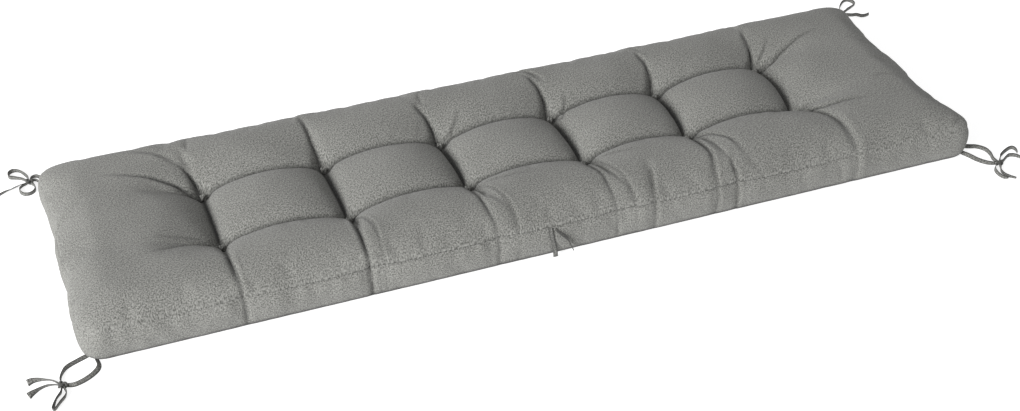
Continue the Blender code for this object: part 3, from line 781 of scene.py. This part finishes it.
def settle(body):
    """The cover blown up by its filling, held at the tufts, at the seam and all over the underside."""
    start = read_places(body.data)
    held = body.vertex_groups.new(name="held")
    hold = held_share(read_box(body.data))
    for index, weight in enumerate(hold):
        if weight > 0:
            held.add([index], float(weight), "REPLACE")
    modifier = body.modifiers.new("filling", "CLOTH")
    for name, value in FILLING.items():
        setattr(modifier.settings, name, value)
    modifier.settings.effector_weights.gravity = 0
    modifier.collision_settings.use_collision = False
    scene = bpy.context.scene
    scene.frame_start, scene.frame_end = 1, SETTLE_FRAMES
    for step in range(1, SETTLE_FRAMES + 1):
        scene.frame_set(step)
    graph = bpy.context.evaluated_depsgraph_get()
    settled = read_places(body.evaluated_get(graph).data)
    body.modifiers.clear()
    moved = settled - start
    length = np.linalg.norm(moved, axis=1)
    capped = np.minimum(length, CAP) / np.maximum(length, TINY)
    write_places(body.data, start + moved * capped[:, None])
    scene.frame_set(1)


def held_share(box):
    """How firmly the cover is held at each place of the plain box: 1 is fast."""
    x, y, z = box.T
    off_column, off_row = nearest_distance(x, COLUMNS), nearest_distance(y, ROWS)
    on_top = z > SEAM_HEIGHT - NEARLY
    tuft = bell(np.hypot(off_column, off_row), HELD_TUFT)
    column_line = HELD_FIRMLY * bell(off_column, HELD_LINE) * bell(beyond(y, ROW_OFFSET), HELD_FADE)
    row_line = HELD_FIRMLY * bell(off_row, HELD_LINE) * bell(beyond(x, COLUMNS[-1]), HELD_FADE)
    rim = np.minimum(HALF_LENGTH - np.abs(x), HALF_WIDTH - np.abs(y))
    seam = HELD_FIRMLY * bell(np.where(on_top, rim * RIM_FIRMNESS, SEAM_HEIGHT - z), HELD_SEAM)
    hold = np.where(on_top, np.max([tuft, column_line, row_line, seam], axis=0), seam)
    return np.where(z < HELD_BOTTOM, 1.0, np.where(hold < HELD_LEAST, 0.0, hold))


def lay_out_cloth(mesh, box):
    """The cloth's own layout in metres: the top panel flat, and the band folded out from its edges."""
    corners = numbers(mesh.loops, "vertex_index")
    starts = numbers(mesh.polygons, "loop_start")
    counts = np.diff(np.append(starts, len(corners)))
    face_of = np.repeat(np.arange(len(starts)), counts)
    middle = np.add.reduceat(box[corners], starts, axis=0) / counts[:, None]
    at_end = (np.abs(middle[:, 0]) > HALF_LENGTH - NEARLY)[face_of]
    at_side = (np.abs(middle[:, 1]) > HALF_WIDTH - NEARLY)[face_of]
    x, y, z = box[corners].T
    drop = SEAM_HEIGHT - z
    u = x + np.where(at_end, np.sign(x) * drop, 0.0)
    v = y + np.where(at_side, np.sign(y) * drop, 0.0)
    mesh.uv_layers.new(name="cloth").data.foreach_set("uv", np.column_stack((u, v)).ravel())


def uneven(places, pitch, seed):
    """A smooth random curve from -1 to 1 with about one turn in each pitch."""
    marks = np.arange(-UNEVEN_REACH, UNEVEN_REACH, pitch)
    heights = np.random.default_rng(seed).uniform(-1, 1, len(marks))
    steps = (places - marks[0]) / pitch
    low = np.clip(steps.astype(int), 0, len(marks) - 2)
    share = soft_step(steps - low)
    return heights[low] * (1 - share) + heights[low + 1] * share


def fold_depth(x, y):
    """How deep the fine folds lie at each place in plan, each a line with a roll of cloth beside it, and
    how much shade is painted along each line.
    """
    total, shade = np.zeros_like(x), np.zeros_like(x)
    for depth, half_width, roll, route in FOLDS:
        far_fade = BAND_FOLD_FADE if route[-1][1] < -HALF_WIDTH else FOLD_FADE
        nearest = np.full_like(x, np.inf)
        signed = np.zeros_like(x)
        fade = np.zeros_like(x)
        for k, (start, end) in enumerate(zip(route, route[1:])):
            run_x, run_y = end[0] - start[0], end[1] - start[1]
            off_x, off_y = x - start[0], y - start[1]
            share = np.clip((off_x * run_x + off_y * run_y) / (run_x**2 + run_y**2), 0.0, 1.0)
            aside = np.hypot(off_x - run_x * share, off_y - run_y * share)
            closer = aside < nearest
            side = np.sign(run_x * off_y - run_y * off_x)
            along = (k + share) / (len(route) - 1)
            nearest = np.where(closer, aside, nearest)
            signed = np.where(closer, side * aside, signed)
            begun = np.minimum(1.0, FOLD_START + FOLD_RISE * along)
            fade = np.where(closer, (1 - along**far_fade) * begun, fade)
        line = np.exp(-nearest / half_width)
        swell = bell(signed - math.copysign(ROLL_OFFSET * half_width, roll), ROLL_WIDTH * half_width)
        total += fade * (depth * line - abs(roll) * swell)
        # Painted shade along each fold line, stronger where the fold is deeper.
        shade = np.maximum(shade, fade * depth / DEEPEST_FOLD * bell(nearest, FOLD_SHADE_WIDTH))
    return total, shade


def finish_surface(body):
    """Presses the folds, the seam and its puckers into the subdivided cover, along its normals, and paints
    shade into its colour along the folds, the seam, the tuft channels and the bottom edge.
    """
    mesh = body.data
    places, box = read_places(mesh), read_box(mesh)
    normals = vectors(mesh.vertex_normals, "vector")
    x, y, z = places.T
    box_x, box_y, box_z = box.T
    on_top = box_z > SEAM_HEIGHT - NEARLY
    upper = np.where(on_top, 1.0, soft_step(box_z / BOTTOM_ROUND))
    depth, shade = fold_depth(x, y)
    depth *= upper

    from_end, from_side = HALF_LENGTH - np.abs(box_x), HALF_WIDTH - np.abs(box_y)
    rim = np.maximum(np.minimum(from_end, from_side), 0.0)
    up_from_seam = np.sqrt(rim / EDGE_ROUND) * (CROWN - SEAM_HEIGHT) * SEAM_SLOPE
    off_seam = np.where(on_top, up_from_seam, SEAM_HEIGHT - box_z)
    shows = np.interp(box_x, *np.transpose(SEAM_SHOWS))
    depth += STITCH_GROOVE * shows * bell(off_seam, STITCH_GROOVE_WIDTH)

    along = np.where(from_end < from_side, box_y, box_x)
    fine = FINE_PUCKER[0] * uneven(along, FINE_PUCKER[1], seed=3)
    broad = BROAD_PUCKER[0] * uneven(along + PUCKER_SLANT * off_seam, BROAD_PUCKER[1], seed=4)
    strength = PUCKER * np.where(on_top, np.where(y < HALF_WIDTH / 2, TOP_PUCKER, BACK_PUCKER), 1.0)
    reach = np.exp(-off_seam / PUCKER_REACH) * (1 - np.exp(-off_seam / PUCKER_START))
    depth += strength * (fine + broad) * reach
    lengthwise = uneven(x + LUMP_SLANTS[0] * y, LUMP_PITCHES[0], seed=5)
    crosswise = uneven(y - LUMP_SLANTS[1] * x, LUMP_PITCHES[1], seed=6)
    small = uneven(x - LUMP_SLANTS[2] * y, LUMP_PITCHES[2], seed=7)
    lumps = lengthwise * crosswise + SMALL_LUMPS * small
    depth += LUMPS * lumps * soft_step(off_seam / LUMP_START) * upper
    write_places(mesh, places - normals * depth[:, None] * (box[:, 2:] > NEARLY))

    # Painted shade along the seam groove, as strongly as the seam shows.
    seam_shade = SEAM_SHADE * shows * bell(off_seam, SEAM_SHADE_WIDTH)
    # Painted shade down the tuft channels, along the columns and the rows, fading out past the last tufts.
    in_column = bell(nearest_distance(box_x, COLUMNS), VALLEY_SHADE_WIDTH)
    in_row = bell(nearest_distance(box_y, ROWS), VALLEY_SHADE_WIDTH)
    column_shade = VALLEY_SHADE * in_column * bell(beyond(box_y, ROW_OFFSET), SHADE_FADE)
    row_shade = ROW_SHADE * in_row * bell(beyond(box_x, COLUMNS[-1]), SHADE_FADE)
    valley_shade = np.maximum(column_shade, row_shade) * on_top
    # Painted shade along the bottom edge, where the band meets the floor.
    hem_shade = HEM_SHADE * bell(z, HEM_SHADE_HEIGHT, HEM_SHADE_POWER)
    shade = np.maximum.reduce([shade * upper, seam_shade, valley_shade, hem_shade])
    mesh.attributes.new("shade", "FLOAT", "POINT").data.foreach_set("value", shade)


def plain_underside(body):
    """Joins the flat squares of the underside, away from its dimples, into a few large faces."""
    shape = bmesh.new()
    shape.from_mesh(body.data)
    blocks = {}
    for face in shape.faces:
        if all(vert.co.z < UNDERSIDE_FLAT for vert in face.verts):
            middle = face.calc_center_median()
            block = math.floor(middle.x / UNDERSIDE_BLOCK), math.floor(middle.y / UNDERSIDE_BLOCK)
            blocks.setdefault(block, []).append(face)
    for faces in blocks.values():
        bmesh.ops.dissolve_faces(shape, faces=faces)
    shape.to_mesh(body.data)
    shape.free()


def subdivide_once(body):
    modifier = body.modifiers.new("fine", "SUBSURF")
    modifier.levels = modifier.render_levels = 1
    bpy.context.view_layer.objects.active = body
    bpy.ops.object.modifier_apply(modifier="fine")


def add_body(cloth):
    across = [
        stations(COLUMNS, PITCH_STEPS, END_STEPS, HALF_LENGTH),
        stations(ROWS, ROW_STEPS, SIDE_STEPS, HALF_WIDTH),
        np.array(eased(0, SEAM_HEIGHT, BAND_STEPS, BAND_EASE) + [SEAM_HEIGHT]),
    ]
    cube = cut_cube([len(places) - 1 for places in across])
    mesh = bpy.data.meshes.new("cushion_cover")
    cube.to_mesh(mesh)
    cube.free()
    unit = read_places(mesh) + 0.5
    box = np.column_stack([
        np.interp(shares, np.linspace(0, 1, len(marks)), marks) for shares, marks in zip(unit.T, across)
    ])
    lay_out_cloth(mesh, box)
    mesh.attributes.new("box", "FLOAT_VECTOR", "POINT").data.foreach_set("vector", box.ravel())
    write_places(mesh, on_body(box))
    body = new_object("cushion_cover", mesh)
    mesh.materials.append(cloth)
    mesh.shade_smooth()
    settle(body)
    subdivide_once(body)
    finish_surface(body)
    plain_underside(body)
    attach(body, "root")
    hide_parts("cushion_body")
    return body


# ---- knots, ties and stitches


def add_piece(name, mesh, material, node):
    piece = new_object(name, mesh)
    mesh.materials.append(material)
    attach(piece, "root")
    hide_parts(node)
    return piece


def wound_knot(half_sizes, thread):
    """A small overhand knot drawn tight round itself, about the origin."""
    curve = bpy.data.curves.new("winding", "CURVE")
    curve.dimensions = "3D"
    curve.bevel_depth = thread
    curve.bevel_resolution = THREAD_ROUNDNESS
    spline = curve.splines.new("POLY")
    spline.points.add(KNOT_POINTS - 1)
    spline.use_cyclic_u = True
    reach = [half - thread for half in half_sizes]
    for k, point in enumerate(spline.points):
        t = math.tau * k / KNOT_POINTS
        across = (math.sin(t) + 2 * math.sin(2 * t)) / 3
        along = (math.cos(t) - 2 * math.cos(2 * t)) / 3
        point.co = (reach[0] * across, reach[1] * along, -reach[2] * math.sin(3 * t), 1.0)
    winding = new_object("winding", curve)
    knot = bmesh.new()
    knot.from_mesh(winding.to_mesh())
    winding.to_mesh_clear()
    bpy.data.objects.remove(winding)
    core = Matrix.Diagonal((*(CORE_SHARE * half for half in half_sizes), 1.0))
    bmesh.ops.create_uvsphere(
        knot, u_segments=CORE_SEGMENTS, v_segments=CORE_RINGS, radius=1.0, matrix=core
    )
    mesh = bpy.data.meshes.new("knot")
    knot.to_mesh(mesh)
    knot.free()
    mesh.shade_smooth()
    return mesh


def add_tuft_knots(surface, twine):
    knot = wound_knot((KNOT_RADIUS, KNOT_RADIUS, KNOT_HEIGHT / 2), KNOT_THREAD)
    for row, tufts in (("front", FRONT_TUFTS), ("back", BACK_TUFTS)):
        for number, (x, y) in enumerate(tufts, 1):
            seat = surface.ray_cast(Vector((x, y, 2 * CROWN)), Vector((0, 0, -1)))[0]
            copy = knot.copy()
            place = Vector((x, y, seat.z + KNOT_HEIGHT / 2 - KNOT_SINK))
            copy.transform(Matrix.Translation(place) @ Matrix.Rotation(KNOT_TURN * number, 4, "Z"))
            add_piece(f"tufting_{row}_{number}", copy, twine, f"tuft_{row}_{number}")


def smooth_route(points, step):
    """Points a step apart on the smooth curve that runs through the given points."""
    ends = [points[0] * 2 - points[1]] + points + [points[-1] * 2 - points[-2]]
    dense = []
    for before, start, end, after in zip(ends, ends[1:], ends[2:], ends[3:]):
        for k in range(ROUTE_DETAIL):
            t = k / ROUTE_DETAIL
            bend = (before * 2 - start * 5 + end * 4 - after) * t**2
            swing = (start * 3 - before - end * 3 + after) * t**3
            dense.append((start * 2 + (end - before) * t + bend + swing) / 2)
    dense.append(points[-1])
    length = sum((b - a).length for a, b in zip(dense, dense[1:]))
    spacing = length / max(2, round(length / step))
    route, gone = [dense[0]], 0.0
    for start, end in zip(dense, dense[1:]):
        run = (end - start).length
        while gone + run >= spacing * len(route) - TINY:
            route.append(start.lerp(end, (spacing * len(route) - gone) / run))
        gone += run
    return route


def strip_mesh(name, route, run, upright, lean, end_turn, first, last, seed):
    """A flat folded strip along a route, its ends narrowed or spread, that never dips into the floor."""
    count = len(route) - 1
    shape = cut_cube((count, TIE_CUTS, 2))
    mesh = bpy.data.meshes.new(name)
    shape.to_mesh(mesh)
    shape.free()
    heading = np.gradient(route, axis=0)
    heading /= np.linalg.norm(heading, axis=1)[:, None]
    aside = np.cross(heading, upright)
    aside /= np.linalg.norm(aside, axis=1)[:, None]
    late = end_turn * (run / run[-1]) ** TIE_END_TURN_EASE
    turn = (lean + late + TIE_TWIST * uneven(run, TWIST_PITCH, seed))[:, None]
    wide = np.array(upright) * np.cos(turn) + aside * np.sin(turn)
    thin = aside * np.cos(turn) - np.array(upright) * np.sin(turn)
    from_start, from_end = np.exp(-run / PINCH_REACH), np.exp(-(run[-1] - run) / END_REACH)
    width = TIE_WIDTH * (1 + (first - 1) * from_start + (last - 1) * from_end)
    lowest = route[:, 2] - (np.abs(wide[:, 2]) * width + np.abs(thin[:, 2]) * TIE_THICKNESS) / 2
    middle = route + np.outer(np.maximum(GAP - lowest, 0.0), (0, 0, 1))

    unit = read_places(mesh)
    station = np.rint((unit[:, 0] + 0.5) * count).astype(int)
    across, through = unit[:, 1], unit[:, 2]
    fold = 1 - EDGE_THINNING * (2 * np.abs(across)) ** EDGE_POWER
    rounded = across * (1 + EDGE_ROUNDING * (1 - 2 * np.abs(through)))
    cup = TIE_CUP * (4 * across**2 - CUP_BALANCE) * uneven(run, CUP_PITCH, seed + 1)[station]
    sideways = (rounded * width[station])[:, None]
    outward = (TIE_THICKNESS * fold * through + cup)[:, None]
    write_places(mesh, middle[station] + wide[station] * sideways + thin[station] * outward)

    corners = numbers(mesh.loops, "vertex_index")
    flat = np.column_stack((run[station], across * TIE_WIDTH + through * TIE_THICKNESS))
    mesh.uv_layers.new(name="cloth").data.foreach_set("uv", flat[corners].ravel())
    mesh.shade_smooth()
    return mesh, middle


def add_strip(node, points, upright, turns, widths, cloth):
    route = np.array([tuple(point) for point in smooth_route(points, TIE_STEP)])
    run = np.append(0.0, np.cumsum(np.linalg.norm(np.diff(route, axis=0), axis=1)))
    seed = round(SEED_SCALE * abs(points[-1].x + points[-1].y))
    mesh, middle = strip_mesh(node.replace("tie", "strip"), route, run, upright, *turns, *widths, seed)
    strip = add_piece(mesh.name, mesh, cloth, node)


def off_knot(knot, toward):
    """Where a strip meets a tie's knot, on the side that faces a place."""
    heading = (toward - knot).normalized()
    reach = 1 / math.hypot(heading.x / TIE_KNOT_SIZE[0], heading.y / TIE_KNOT_SIZE[1])
    return knot + heading * (reach - TIE_KNOT_THREAD)


def off_body(surface, place, outer):
    """Where a strip that comes from a place farther out is sewn into the body."""
    inward = (place - outer).normalized()
    return outer + inward * (surface.ray_cast(outer, inward)[3] + TIE_TUCK)


def add_corner_ties(surface, cloth):
    knot_mesh = wound_knot(TIE_KNOT_SIZE, TIE_KNOT_THREAD)
    for corner, ties in CORNER_TIES.items():
        place = in_metres(ties["knot"])
        copy = knot_mesh.copy()
        # Painted shade: the tie knot's cloth is darkened evenly all over.
        shade = copy.attributes.new("shade", "FLOAT", "POINT")
        shade.data.foreach_set("value", [TIE_KNOT_SHADE] * len(copy.vertices))
        centre = Vector((*place, TIE_KNOT_SIZE[2] + GAP))
        copy.transform(Matrix.Translation(centre) @ Matrix.Rotation(TIE_KNOT_TURN * centre.x, 4, "Z"))
        tied = add_piece(f"tied_{corner}", copy, cloth, f"tie_{corner}_knot")
        for kind in ("strap", "loop", "end"):
            for letter, (degrees, route) in zip("abcd", ties[kind]):
                lean = math.radians(degrees)
                height = (TIE_WIDTH * math.cos(lean) + TIE_THICKNESS * abs(math.sin(lean))) / 2 + GAP
                knot = Vector((*place, height))
                points = [Vector((*step, height)) for step in in_metres(route)]
                if kind == "strap":
                    points[0] = off_body(surface, points[0], points[1])
                else:
                    points.insert(0, off_knot(knot, points[0]))
                if kind != "end":
                    points.append(off_knot(knot, points[-1]))
                node = f"tie_{corner}_{kind}_{letter}"
                turns, widths, far_end, knots = (lean, 0.0), (PINCH, PINCH), "knot", (tied,)
                if kind == "end":
                    turns = lean, math.radians(TIE_END_TURNS[corner])
                    widths = PINCH, TIE_END_WIDTHS[corner]
                    far_end, knots = "bare", ()
                add_strip(node, points, (0, 0, 1), turns, widths, cloth)


def add_hanging_ties(surface, cloth):
    strips = tuple(zip("ab", HANGING_TIES, HANGING_LEANS, HANGING_WIDTHS, HANGING_CLEAR))
    for side_name, side in (("front", -1), ("back", 1)):
        for letter, route, lean, widths, clear in strips:
            points = []
            for x, out, z in route:
                outside = Vector((x, side * WIDTH, max(z, BOTTOM_ROUND)))
                band = surface.ray_cast(outside, Vector((0, -side, 0)))[0]
                off_band = max(HALF_WIDTH - SEAM_GROOVE + out, abs(band.y) + clear)
                points.append(Vector((x, side * off_band, z)))
            node = f"tie_{side_name}_middle_{letter}"
            add_strip(node, points, (0, side, 0), (lean, 0.0), widths, cloth)


def on_loop(run, loop, place):
    return Vector([np.interp(place, run, loop[:, axis]) for axis in range(3)])


def add_stitches(body, thread):
    """Short stitches all along the seam between the top and the band."""
    box, places = read_box(body.data), read_places(body.data)
    normals = vectors(body.data.vertex_normals, "vector")
    x, y, z = box.T
    at_side, at_end = np.abs(y) > HALF_WIDTH - NEARLY, np.abs(x) > HALF_LENGTH - NEARLY
    seam = np.flatnonzero((np.abs(z - SEAM_HEIGHT) < NEARLY) & (at_side | at_end))
    turn = np.arctan2(y[seam] / HALF_WIDTH, x[seam] / HALF_LENGTH)
    seam = seam[np.argsort(turn)]
    loop = places[np.append(seam, seam[0])]
    outward = normals[np.append(seam, seam[0])]
    run = np.append(0.0, np.cumsum(np.linalg.norm(np.diff(loop, axis=0), axis=1)))
    bpy.ops.mesh.primitive_uv_sphere_add(segments=STITCH_SEGMENTS, ring_count=STITCH_RINGS, radius=0.5)
    stitch = bpy.context.object
    stitch.data.shade_smooth()
    count = round(run[-1] / STITCH_PITCH)
    copies = []
    for middle in run[-1] * (np.arange(count) + 0.5) / count:
        ends = [on_loop(run, loop, middle + step) for step in (-STITCH_STEP, STITCH_STEP)]
        up = on_loop(run, outward, middle).normalized()
        along = (ends[1] - ends[0]).normalized()
        across = up.cross(along).normalized()
        pose = Matrix((along, across, up)).transposed().to_4x4() @ Matrix.Diagonal((*STITCH_SIZE, 1.0))
        copy = new_object("stitch", stitch.data.copy())
        place = (ends[0] + ends[1]) / 2
        sunk = STITCH_SINK * (1 - np.interp(place.x, *np.transpose(SEAM_SHOWS)))
        copy.data.transform(Matrix.Translation(place - up * sunk) @ pose)
        copies.append(copy)
    bpy.data.objects.remove(stitch)
    bpy.ops.object.select_all(action="DESELECT")
    for copy in copies:
        copy.select_set(True)
    bpy.context.view_layer.objects.active = copies[0]
    bpy.ops.object.join()
    stitches = bpy.context.object
    stitches.name = "seam_stitches"
    stitches.data.materials.append(thread)
    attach(stitches, "root")


# ---- the work in order

add_camera()
add_stage()
cloth = weave_material("cover_cloth", CLOTH_DARK, CLOTH_LIGHT, own_layout)
tie_cloth = weave_material("tie_cloth", TIE_DARK, TIE_LIGHT, own_layout, FOLD_LINE)
twine = weave_material("grey_twine", TWINE_DARK, TWINE_LIGHT, in_space)
thread = weave_material("seam_thread", THREAD_DARK, THREAD_LIGHT, in_space)
body = add_body(cloth)
surface = BVHTree.FromObject(body, bpy.context.evaluated_depsgraph_get())
add_tuft_knots(surface, twine)
add_corner_ties(surface, tie_cloth)
add_hanging_ties(surface, tie_cloth)
add_stitches(body, thread)
